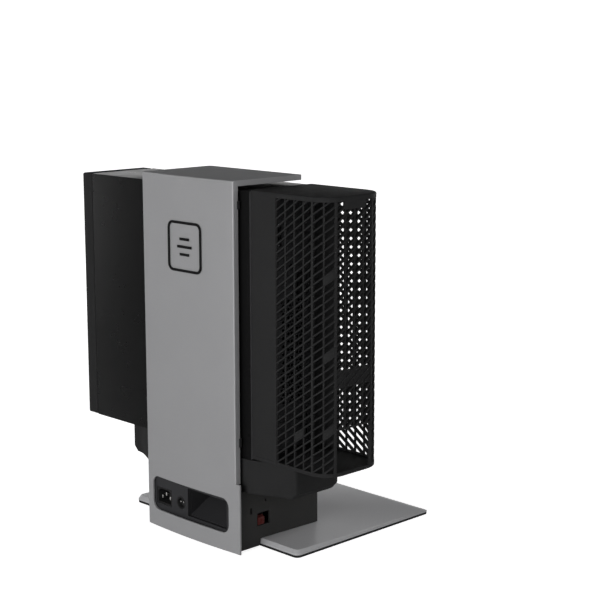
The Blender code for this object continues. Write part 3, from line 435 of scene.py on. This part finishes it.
class CoverPath:
    """The cable cover's outer outline in plan, from its rear inner edge round to its front one."""

    def __init__(self, low, high):
        self.low, self.high = low, high
        rear = (high.x - low.x) - REAR_R
        side = (high.y - REAR_R) - (low.y + FRONT_R)
        front = (high.x - low.x) - FRONT_R
        self.ends = [rear]
        for part in (REAR_R * math.pi / 2, side, FRONT_R * math.pi / 2, front):
            self.ends.append(self.ends[-1] + part)
        self.length = self.ends[-1]

    def at(self, s, depth):
        """Point at path length s, depth inside the outer skin."""
        low, high, ends = self.low, self.high, self.ends
        if s <= ends[0]:
            return high.x - s, high.y - depth
        if s <= ends[1]:
            angle = math.pi / 2 + (s - ends[0]) / REAR_R
            r = REAR_R - depth
            return (low.x + REAR_R + r * math.cos(angle), high.y - REAR_R + r * math.sin(angle))
        if s <= ends[2]:
            return low.x + depth, high.y - REAR_R - (s - ends[1])
        if s <= ends[3]:
            angle = math.pi + (s - ends[2]) / FRONT_R
            r = FRONT_R - depth
            return (low.x + FRONT_R + r * math.cos(angle), low.y + FRONT_R + r * math.sin(angle))
        return low.x + FRONT_R + (s - ends[3]), low.y + depth

    def stations(self, start, end):
        """Path lengths from start to end: dense in the corners, sparse on the flats."""
        marks = {start, end}
        marks.update(mark for mark in self.ends if start < mark < end)
        for a, b in (self.ends[0:2], self.ends[2:4]):
            count = max(1, math.ceil((b - a) / CORNER_STEP))
            marks.update(a + (b - a) * i / count for i in range(1, count)
                         if start < a + (b - a) * i / count < end)
        return sorted(marks)


def sweep_path(builder, path, start, end, section, rise=0.0):
    """Sweep a (depth, height) section along the path; rise is how fast the height climbs."""
    rings = []
    for s in path.stations(start, end):
        rings.append([(*path.at(s, depth), z + rise * (s - start)) for depth, z in section])
    builder.sweep(rings)


def bar_at(index):
    return FIRST_BAR + index * BAY


def slat_height(base, s):
    """Height at path length s of a slat that starts from base at the first bar."""
    return base + SLOPE * (s - FIRST_BAR)


def slat_runs(start, end, base):
    """Stretches of a slat, without the part in the opening for the cables."""
    first, last = bar_at(EXIT_BARS[0]), bar_at(EXIT_BARS[1])
    if slat_height(base, first) >= EXIT_TOP or start >= last:
        return [(start, end)]
    runs = []
    if start < first:
        runs.append((start, first))
    above = start + (EXIT_TOP - slat_height(base, start)) / SLOPE
    above = min(max(above, first, start), last)
    if above < end:
        runs.append((above, end))
    return runs


def slat_section(front, back, half):
    """Slat across its run: cut front edges, slightly thinner towards the back."""
    edge, thin = 0.35 * MM, half - 0.15 * MM
    return [(front, edge - half), (front + edge, -half), (back, -thin), (back, thin),
            (front + edge, half), (front, half - edge)]


def add_slats(builder, path, bottom, top):
    section = slat_section(0.35 * MM, SLAT_BACK, SLAT_HALF)
    last_bar = bar_at(BAYS)
    lowest = bottom - SLOPE * (last_bar - FIRST_BAR)
    first_slat = math.floor((lowest - SLAT_PHASE) / PITCH)
    past_slat = math.ceil((top - SLAT_PHASE) / PITCH)
    for k in range(first_slat, past_slat):
        base = SLAT_PHASE + k * PITCH
        start = max(FIRST_BAR, FIRST_BAR + (bottom - base) / SLOPE)
        end = min(last_bar, FIRST_BAR + (top - base) / SLOPE)
        if end - start < SHORTEST_SLAT:
            continue
        for a, b in slat_runs(start, end, base):
            if b - a > SHORTEST_SLAT / 2:
                z = slat_height(base, a)
                sweep_path(builder, path, a, b, [(d, z + dz) for d, dz in section], SLOPE)


def add_bars(builder, path, bottom, top):
    """Upright bars behind the slats' front edges; three of them are wider and stand flush."""
    for index in range(BAYS + 1):
        strong = index in STRONG_BARS
        half, front = (STRONG_HALF, STRONG_FRONT) if strong else (BAR_HALF, BAR_FRONT)
        foot = EXIT_TOP if EXIT_BARS[0] < index < EXIT_BARS[1] else bottom
        outline = chamfered((-half, front), (half, SLAT_BACK - 1 * MM), 0.35 * MM)
        builder.sweep([[(*path.at(bar_at(index) + side, depth), z) for side, depth in outline]
                       for z in (foot, top)])


def add_closed_cells(builder, path):
    """Cells of the lattice that are closed by a thin plate behind the skin."""
    front, back = 0.7 * MM, 2.2 * MM
    for bay, height in CLOSED_CELLS:
        z = SLAT_PHASE + round((height - SLAT_PHASE) / PITCH) * PITCH
        section = [(front, z), (back, z), (back, z + PITCH), (front, z + PITCH)]
        sweep_path(builder, path, bar_at(bay), bar_at(bay + 1), section, SLOPE)


def add_side_plates(builder, path):
    """On the outer wall: a closed band behind the slats, and a plain patch under the lid."""
    band = chamfered((1.6 * MM, BAND_Z[0]), (3.2 * MM, BAND_Z[1]), 0.3 * MM)
    sweep_path(builder, path, bar_at(EXIT_BARS[0]), bar_at(EXIT_BARS[1]), band)
    patch = chamfered((0.3 * MM, PATCH_Z[0]), (3.0 * MM, PATCH_Z[1]), 0.4 * MM)
    start = path.ends[1] + (path.high.y - REAR_R) - PATCH_Y[1]
    sweep_path(builder, path, start, start + PATCH_Y[1] - PATCH_Y[0], patch)


def plan_plate(builder, path, inset, low, high, rim):
    """Flat plate that fills the outline, with a rounded upper rim."""
    steps = ((0.0, 1.0), (0.13, 0.5), (0.5, 0.13), (1.0, 0.0))    # a quarter round, in rims
    rings = [(inset, low)] + [(inset + into * rim, high - down * rim) for into, down in steps]
    stations = path.stations(0.0, path.length)
    builder.sweep([[(*path.at(s, depth), z) for s in stations] for depth, z in rings])


def cover_strips(path, low, high, bottom, top):
    """Walls of the cover: where each starts and ends on the path, and its section.

    Their outer faces and ends differ by a few tenths of a millimetre, so that no two of them lie
    in one plane.
    """
    ends, edge = path.length, FIRST_BAR - RAISED_WIDTH
    upper = chamfered((0.1 * MM, top), (2.4 * MM, high.z - 1.9 * MM), 0.1 * MM)
    lower = chamfered((0.2 * MM, low.z + 1.5 * MM), (2.4 * MM, bottom), 0.3 * MM)
    flat = chamfered((0.5 * MM, low.z + 1.7 * MM), (WALL, high.z - 1.8 * MM), 0.1 * MM)
    raised = chamfered((0.0, low.z + 1.6 * MM), (2.3 * MM, high.z - 1.7 * MM), 0.3 * MM)
    head = chamfered((0.15 * MM, EXIT_TOP - 1 * MM), (2.2 * MM, EXIT_TOP + 1 * MM), 0.3 * MM)
    return ((0.0, ends, upper), (0.0, ends, lower),
            (-CASE_LIP, edge + 1 * MM, flat), (edge, FIRST_BAR + 0.5 * MM, raised),
            (ends - edge - 1 * MM, ends + CASE_LIP, flat),
            (bar_at(BAYS) - 0.5 * MM, ends - edge, raised),
            (bar_at(EXIT_BARS[0]), bar_at(EXIT_BARS[1]), head))


def make_cable_cover(materials):
    """Slatted lattice and the shell that frames it, in place of the plain CAD cover."""
    low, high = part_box("cable_cover")
    path = CoverPath(low, high)
    bottom, top = low.z + BOTTOM_BAND, high.z - TOP_BAND
    lattice = Builder()
    add_slats(lattice, path, bottom - LATTICE_LAP, top + LATTICE_LAP)
    add_bars(lattice, path, bottom - LATTICE_LAP, top + LATTICE_LAP)
    add_closed_cells(lattice, path)
    add_side_plates(lattice, path)
    grid = lattice.piece("cable_cover_lattice", materials["black_plastic"], "cable_cover",
                         "black_plastic")
    shell = Builder()
    plan_plate(shell, path, 0.0, high.z - LID_HEIGHT, high.z, LID_RIM)
    plan_plate(shell, path, 0.3 * MM, low.z, low.z + WALL, FOOT_RIM)
    for start, end, section in cover_strips(path, low, high, bottom, top):
        sweep_path(shell, path, start, end, section)
    skin = shell.piece("cable_cover_shell", materials["black_plastic"], "cable_cover",
                       "black_plastic")
    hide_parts("cable_cover")
    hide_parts("cable_cover")


# ---------------------------------------------------------------- computer

VENT_PITCH = 5.2 * MM         # hole to hole, in staggered rows
VENT_RADIUS = 1.9 * MM
VENT_Y = (11 * MM, 45 * MM)   # the field's sides and ends, from the chassis's lower corner
VENT_Z = (55 * MM, 168 * MM)
VENT_SIDES = 8
CUT_HALF = 3 * MM             # the cutters reach this far to both sides of the wall's face
SCREW_IN, SCREW_UP = 10 * MM, 12 * MM     # corner screws, from the chassis's sides and ends
SEAM_IN, SEAM_UP = 30 * MM, 205 * MM      # two screws above the socket panel
SCREW_RADIUS = 3.2 * MM
RIDGES, RIDGE_PITCH, RIDGE_WIDTH, RIDGE_EDGE = 5, 4 * MM, 1.6 * MM, 20 * MM
RIDGE_DROP = (60 * MM, 24 * MM)           # the ridges' lower and upper ends, below the cover's top


def vent_cutter(x, y_range, z_range):
    """Staggered field of round holes through the computer's rear wall."""
    cutter = Builder()
    profile = [(VENT_RADIUS, -CUT_HALF), (VENT_RADIUS, CUT_HALF)]
    row_step = VENT_PITCH * math.sqrt(3) / 2
    rows = int((z_range[1] - z_range[0]) / row_step) + 1
    for row in range(rows):
        z = z_range[0] + row * row_step
        y = y_range[0] + (VENT_PITCH / 2 if row % 2 else 0.0)
        while y <= y_range[1]:
            cutter.turned((x, y, z), 0, profile, VENT_SIDES)
            y += VENT_PITCH
    return cutter


def make_chassis(materials):
    """The chassis with its vent holes."""
    low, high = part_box("chassis")
    field = vent_cutter(low.x, [low.y + y for y in VENT_Y], [low.z + z for z in VENT_Z])
    mesh = bpy.data.meshes.new("vent_holes")
    mesh.from_pydata(field.vertices, [], field.faces)
    cutter = bpy.data.objects.new("vent_holes", mesh)
    chassis = bpy.data.objects.new("chassis_vented", frame["nodes"]["chassis"].data.copy())
    for piece in (cutter, chassis):
        bpy.context.scene.collection.objects.link(piece)
    holes = chassis.modifiers.new("vents", "BOOLEAN")
    holes.object = cutter
    holes.solver = "EXACT"
    bpy.context.view_layer.update()
    evaluated = chassis.evaluated_get(bpy.context.evaluated_depsgraph_get())
    vented = bpy.data.meshes.new_from_object(evaluated)
    chassis.modifiers.clear()
    chassis.data = vented
    bpy.data.objects.remove(cutter, do_unlink=True)
    finish_node(chassis, materials["case_steel"], EDGE_WIDTHS["chassis"])
    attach(chassis, "computer")
    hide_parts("chassis")


def make_case_screws(materials):
    """Pan heads with a recess, standing out of the computer's rear wall."""
    low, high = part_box("chassis")
    r = SCREW_RADIUS
    head = [(r, 0.3 * MM), (r, -0.5 * MM), (r * 0.8, -1.2 * MM), (r * 0.4, -1.5 * MM),
            (r * 0.3, -0.7 * MM)]
    builder = Builder()
    for y, z in ((low.y + SCREW_IN, low.z + SCREW_UP), (high.y - SCREW_IN, low.z + SCREW_UP),
                 (low.y + SCREW_IN, high.z - SCREW_UP), (high.y - SCREW_IN, high.z - SCREW_UP),
                 (high.y - SCREW_IN, low.z + SEAM_UP), (low.y + SEAM_IN, low.z + SEAM_UP)):
        builder.turned((low.x, y, z), 0, head, 16)
    builder.piece("case_screws", materials["black_steel"], "computer", "black_steel")


def make_pull_ridges(materials):
    """Raised ridges for pulling the computer's side cover off."""
    low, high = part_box("side_cover")
    builder = Builder()
    for i in range(RIDGES):
        x = low.x + RIDGE_EDGE + i * RIDGE_PITCH
        builder.block((x, low.y - 0.5 * MM, high.z - RIDGE_DROP[0]),
                      (x + RIDGE_WIDTH, low.y + 0.3 * MM, high.z - RIDGE_DROP[1]))
    builder.piece("side_cover_grip", materials["black_steel"], "computer", "black_steel")


def make_bezel_details(materials):
    """Tongues in the front sockets and a lamp below the power button."""
    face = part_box("front_ports")[1].x
    tongues = Builder()
    for name in ("front_socket_lower", "front_socket_upper"):
        y, z = opening(name).yz
        tongues.bar((face - 9 * MM, face - 1.2 * MM), y, z, 0.85 * MM, 5.2 * MM)
    tongues.piece("port_tongues", materials["grey_plastic"], "computer", "grey_plastic")
    button_low, button_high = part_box("power_button")
    y, z = (button_low.y + button_high.y) / 2, button_low.z - 8 * MM
    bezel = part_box("front_bezel")[1].x
    lamp = Builder()
    lamp.bar((bezel - 0.6 * MM, bezel + 0.25 * MM), y, z, 3.5 * MM, 0.7 * MM)
    lamp.piece("power_lamp", materials["grey_plastic"], "computer", "grey_plastic")


def make_io_details(materials):
    """Tongues, contacts and posts in and beside the sockets of the computer's rear panel."""
    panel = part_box("io_panel")[0].x
    floor, lip = panel + 10 * MM, panel + 1.5 * MM
    plastic, metal = Builder(), Builder()
    for name in ("io_usb_a", "io_usb_b"):
        y, z = opening(name).yz
        for side in (-3.2 * MM, 3.2 * MM):
            plastic.bar((lip, floor), y + side, z, 1.0 * MM, 4.6 * MM)
    for name in ("io_display_a", "io_display_b"):
        y, z = opening(name).yz
        plastic.bar((lip, floor), y, z, 1.2 * MM, 5.5 * MM)
    y, z = opening("io_network").yz
    contacts, contact_pitch = 8, 1.1 * MM
    for i in range(contacts):
        at = z + (i - (contacts - 1) / 2) * contact_pitch
        metal.bar((panel + 3 * MM, floor), y - 4.2 * MM, at, 0.3 * MM, 0.25 * MM, 0.1 * MM)
    y, z = opening("io_serial").yz
    post = [(2.2 * MM, 0.0), (2.2 * MM, -1.0 * MM), (1.6 * MM, -1.5 * MM)]
    for side in (-11 * MM, 11 * MM):
        metal.turned((panel - 0.2 * MM, y, z + side), 0, post, 6)
    plastic.piece("io_tongues", materials["black_plastic"], "computer", "black_plastic")
    metal.piece("io_contacts", materials["bright_metal"], "computer", "bright_metal")


# ---------------------------------------------------------------- stand

MARK_HALVES = (8 * MM, 12 * MM, 8 * MM)   # half lengths of the mark's bars, from below
MARK_STEP, MARK_HALF = 8.5 * MM, 1.5 * MM
HOOK_X, HOOK_HALF, HOOK_REACH = 26 * MM, 7 * MM, 3.2 * MM
RIVET_CIRCLE = 15 * MM
RIVET_HEAD = [(2.6 * MM, 0.3 * MM), (2.6 * MM, -0.4 * MM), (1.8 * MM, -1.0 * MM)]


def make_badge_bars(materials):
    """Three short bars inside the badge's frame."""
    low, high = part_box("cover_badge")
    middle = (low.z + high.z) / 2
    builder = Builder()
    for i, half in enumerate(MARK_HALVES):
        z = middle + (i - 1) * MARK_STEP
        builder.block((-half, low.y + 0.1 * MM, z - MARK_HALF), (half, high.y, z + MARK_HALF),
                      0.25 * MM, 1)
    builder.piece("badge_glyph", materials["badge_black"], "rear_cover", "badge_black")


def make_plate_details(materials):
    """Two hooks at the top of the monitor plate and four rivets on its boss."""
    low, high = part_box("pivot_plate")
    hooks = Builder()
    for x in (-HOOK_X, HOOK_X):
        corner = (x - HOOK_HALF, low.y - HOOK_REACH, high.z - 9 * MM)
        hooks.block(corner, (x + HOOK_HALF, low.y + 0.5 * MM, high.z - 6.5 * MM))
        hooks.block(corner, (x + HOOK_HALF, low.y - 2.0 * MM, high.z - 3.0 * MM))
    hooks.piece("plate_hooks", materials["black_steel"], "pivot_plate", "black_steel")
    rivets = Builder()
    middle = (low.z + high.z) / 2
    for i in range(4):
        angle = math.pi / 4 + i * math.pi / 2
        centre = (RIVET_CIRCLE * math.cos(angle), low.y, middle + RIVET_CIRCLE * math.sin(angle))
        rivets.turned(centre, 1, RIVET_HEAD, 16)
    rivets.piece("plate_rivets", materials["zinc_steel"], "pivot_plate", "zinc_steel")


# ---------------------------------------------------------------- stage, light, camera

FLOOR_TONE = (0.66, 0.66, 0.66)
FLOOR_SHOWN = 0.85            # glow that the camera sees
FLOOR_GLOW = (0.12, 0.68)     # glow that the object gets from the dark and the bright side
BACKDROP = (0.74, -0.67, 0.0)  # direction of the bright side of the sweep
GLOW_REACH = (0.4, 2.8)       # metres in that direction over which the glow grows
WALL_FADE = (1.02, 1.16)      # heights between which the sweep's glow fades
FLOOR_RADIUS, FLOOR_BEND, WALL_HEIGHT = 3.4, 0.35, 1.6
FLOOR_SIDES, BEND_STEPS = 96, 8
LIGHT_DISTANCE = 2.3
SOFTBOXES = (                 # name, direction from the object, side in metres, watts
    ("key", (-0.20, 1.0, 0.14), 1.5, 36),
    ("fill", (-1.0, -0.1, 0.45), 1.5, 7.5),
    ("front", (-0.05, -1.0, 0.16), 1.4, 22),
    ("side", (1.0, -0.18, 0.14), 1.0, 13),
)
BRIGHT_SIDE = (-0.62, 0.78, 0.0)     # the studio is lighter on this side and darker opposite
WORLD_GLOW = (0.03, 0.08)
CAMERA_PLACE = Vector((-1.2328, 1.1645, 0.5694))
CAMERA_TURN, CAMERA_DIP, CAMERA_ROLL = 45.528, 10.416, 0.08
CAMERA_LENS, CAMERA_SENSOR = 88.97, 36.0


def stage_material():
    """Pale studio sweep that lights the object a little and is greyer high up its wall."""
    material, tree, shader = new_material("studio_sweep")
    place = tree.nodes.new("ShaderNodeTexCoord").outputs["Object"]
    fade = ranged(tree, vector_parts(tree, place)["Z"], 1.0, 0.15, *WALL_FADE)
    given = ranged(tree, along(tree, place, BACKDROP), *FLOOR_GLOW, *GLOW_REACH)
    rays = tree.nodes.new("ShaderNodeLightPath")
    seen = tree.nodes.new("ShaderNodeMix")
    tree.links.new(rays.outputs["Is Camera Ray"], seen.inputs["Factor"])
    tree.links.new(given, seen.inputs["A"])
    seen.inputs["B"].default_value = FLOOR_SHOWN
    tree.links.new(math_node(tree, "MULTIPLY", fade, seen.outputs["Result"]),
                   shader.inputs["Emission Strength"])
    mottled = ranged(tree, noise(tree, 3.0, 2.0), 0.98, 1.02)
    tree.links.new(tinted(tree, FLOOR_TONE, mottled), shader.inputs["Base Color"])
    shader.inputs["Emission Color"].default_value = (1.0, 1.0, 1.0, 1.0)
    shader.inputs["Roughness"].default_value = 0.9
    shader.inputs["Specular IOR Level"].default_value = 0.1
    material.cycles.emission_sampling = "NONE"
    return material


def make_stage():
    """Round floor that curves up into a low wall."""
    flat, count = FLOOR_RADIUS - FLOOR_BEND, FLOOR_SIDES
    profile = [(0.02, 0.0), (0.5, 0.0), (flat, 0.0)]
    for i in range(1, BEND_STEPS + 1):
        angle = math.pi / 2 * i / BEND_STEPS
        profile.append((flat + FLOOR_BEND * math.sin(angle),
                        FLOOR_BEND - FLOOR_BEND * math.cos(angle)))
    profile.append((FLOOR_RADIUS, WALL_HEIGHT))
    turns = [2 * math.pi * j / count for j in range(count)]
    vertices = [(r * math.cos(t), r * math.sin(t), z) for r, z in profile for t in turns]
    faces = []
    for i in range(len(profile) - 1):
        for j in range(count):
            k = (j + 1) % count
            faces.append((i * count + j, i * count + k, (i + 1) * count + k, (i + 1) * count + j))
    faces.append(tuple(reversed(range(count))))
    mesh = bpy.data.meshes.new("studio_floor")
    mesh.from_pydata(vertices, [], faces)
    for polygon in mesh.polygons:
        polygon.use_smooth = True
    mesh.materials.append(stage_material())
    floor = bpy.data.objects.new("studio_floor", mesh)
    bpy.context.scene.collection.objects.link(floor)


def make_world():
    """Dim studio surroundings, a little brighter on one side."""
    world = bpy.data.worlds.new("studio")
    world.use_nodes = True
    tree = world.node_tree
    direction = tree.nodes.new("ShaderNodeTexCoord").outputs["Generated"]
    strength = ranged(tree, along(tree, direction, BRIGHT_SIDE), *WORLD_GLOW, -0.5, 0.7)
    background = tree.nodes["Background"]
    background.inputs["Color"].default_value = (1.0, 1.0, 1.0, 1.0)
    tree.links.new(strength, background.inputs["Strength"])
    bpy.context.scene.world = world


def make_lights():
    """Square area lights, each aimed at the object's middle."""
    middle = (CAD_LOW + CAD_HIGH) / 2
    for name, toward, size, power in SOFTBOXES:
        light = bpy.data.lights.new(name, "AREA")
        light.shape = "SQUARE"
        light.size = size
        light.energy = power
        lamp = bpy.data.objects.new(name, light)
        direction = Vector(toward).normalized()
        lamp.location = middle + direction * LIGHT_DISTANCE
        lamp.rotation_mode = "QUATERNION"
        lamp.rotation_quaternion = (-direction).to_track_quat("-Z", "Y")
        bpy.context.scene.collection.objects.link(lamp)


def make_camera():
    """Camera behind the stand, on its cable side, looking slightly down."""
    turn, dip = math.radians(CAMERA_TURN), math.radians(CAMERA_DIP)
    forward = Vector((math.sin(turn) * math.cos(dip), -math.cos(turn) * math.cos(dip),
                      -math.sin(dip)))
    lens = bpy.data.cameras.new("camera")
    lens.sensor_width = CAMERA_SENSOR
    lens.lens = CAMERA_LENS
    lens.clip_start, lens.clip_end = 0.05, 50.0
    camera = bpy.data.objects.new("camera", lens)
    camera.location = CAMERA_PLACE
    camera.rotation_mode = "QUATERNION"
    roll = Matrix.Rotation(math.radians(CAMERA_ROLL), 3, forward).to_quaternion()
    camera.rotation_quaternion = roll @ forward.to_track_quat("-Z", "Y")
    bpy.context.scene.collection.objects.link(camera)
    bpy.context.scene.camera = camera


def main():
    bpy.context.scene.view_settings.view_transform = "Standard"
    materials = make_materials()
    finish_nodes(materials)
    make_cable_cover(materials)
    for make in (make_chassis, make_case_screws, make_pull_ridges, make_bezel_details,
                 make_io_details, make_badge_bars, make_plate_details):
        make(materials)
    make_stage()
    make_world()
    make_lights()
    make_camera()


main()
